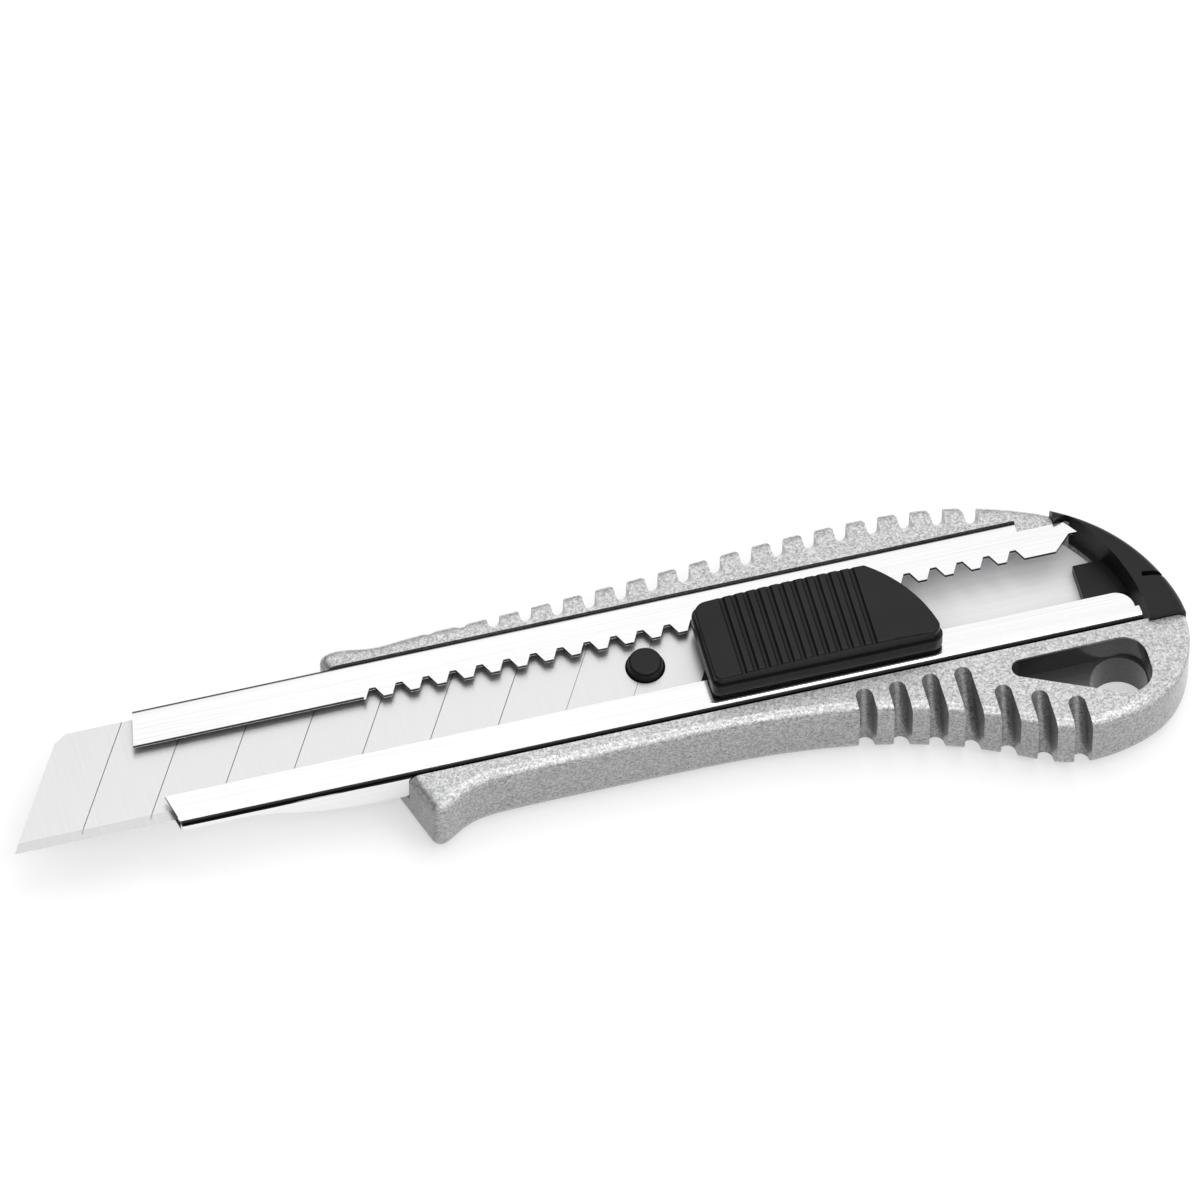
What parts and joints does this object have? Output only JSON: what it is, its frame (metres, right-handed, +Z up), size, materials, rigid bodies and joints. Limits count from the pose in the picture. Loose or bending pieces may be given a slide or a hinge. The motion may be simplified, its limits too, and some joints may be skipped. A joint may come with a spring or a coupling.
{
  "type": "utility knife",
  "caption": "Snap-off blade utility knife with a cast metal handle, folded steel blade channel with a locking rack, thumb slide and pull-off end cap.",
  "frame": {"origin": "on the flat underside of the handle casting, below the middle of the blade channel", "axes": "+X from the blade tip towards the rear end, +Y from the cutting edge to the back of the blade, +Z up out of the open side of the channel"},
  "size_m": [0.172, 0.0434, 0.0166],
  "materials": {
    "cast_silver": "silver speckled lacquer on zinc",
    "channel_steel": "bright folded steel sheet",
    "blade_steel": "satin carbon steel",
    "black_plastic": "satin moulded",
    "spring_steel": "bright strip"
  },
  "bodies": {
    "handle": {"handle_casting": "cast_silver", "blade_channel": "channel_steel"},
    "blade_unit": {"blade_carrier": "black_plastic", "snap_off_blade": "blade_steel", "lock_spring": "spring_steel"},
    "thumb_button": {"thumb_slide": "black_plastic"},
    "cap": {"end_cap": "black_plastic"}
  },
  "joints": [
    {"name": "blade_slide", "type": "slide", "parent": "handle", "child": "blade_unit", "axis": [-1, 0, 0], "range_m": [-0.02772, 0.04356], "deforming": ["lock_spring"]},
    {"name": "thumb_release", "type": "slide", "parent": "blade_unit", "child": "thumb_button", "axis": [-1, 0, 0], "range_m": [-0.0008, 0.0008], "stiffness_N_per_m": 1500},
    {"name": "cap_pull", "type": "slide", "parent": "handle", "child": "cap", "axis": [1, 0, 0], "range_m": [0, 0.02]}
  ]
}
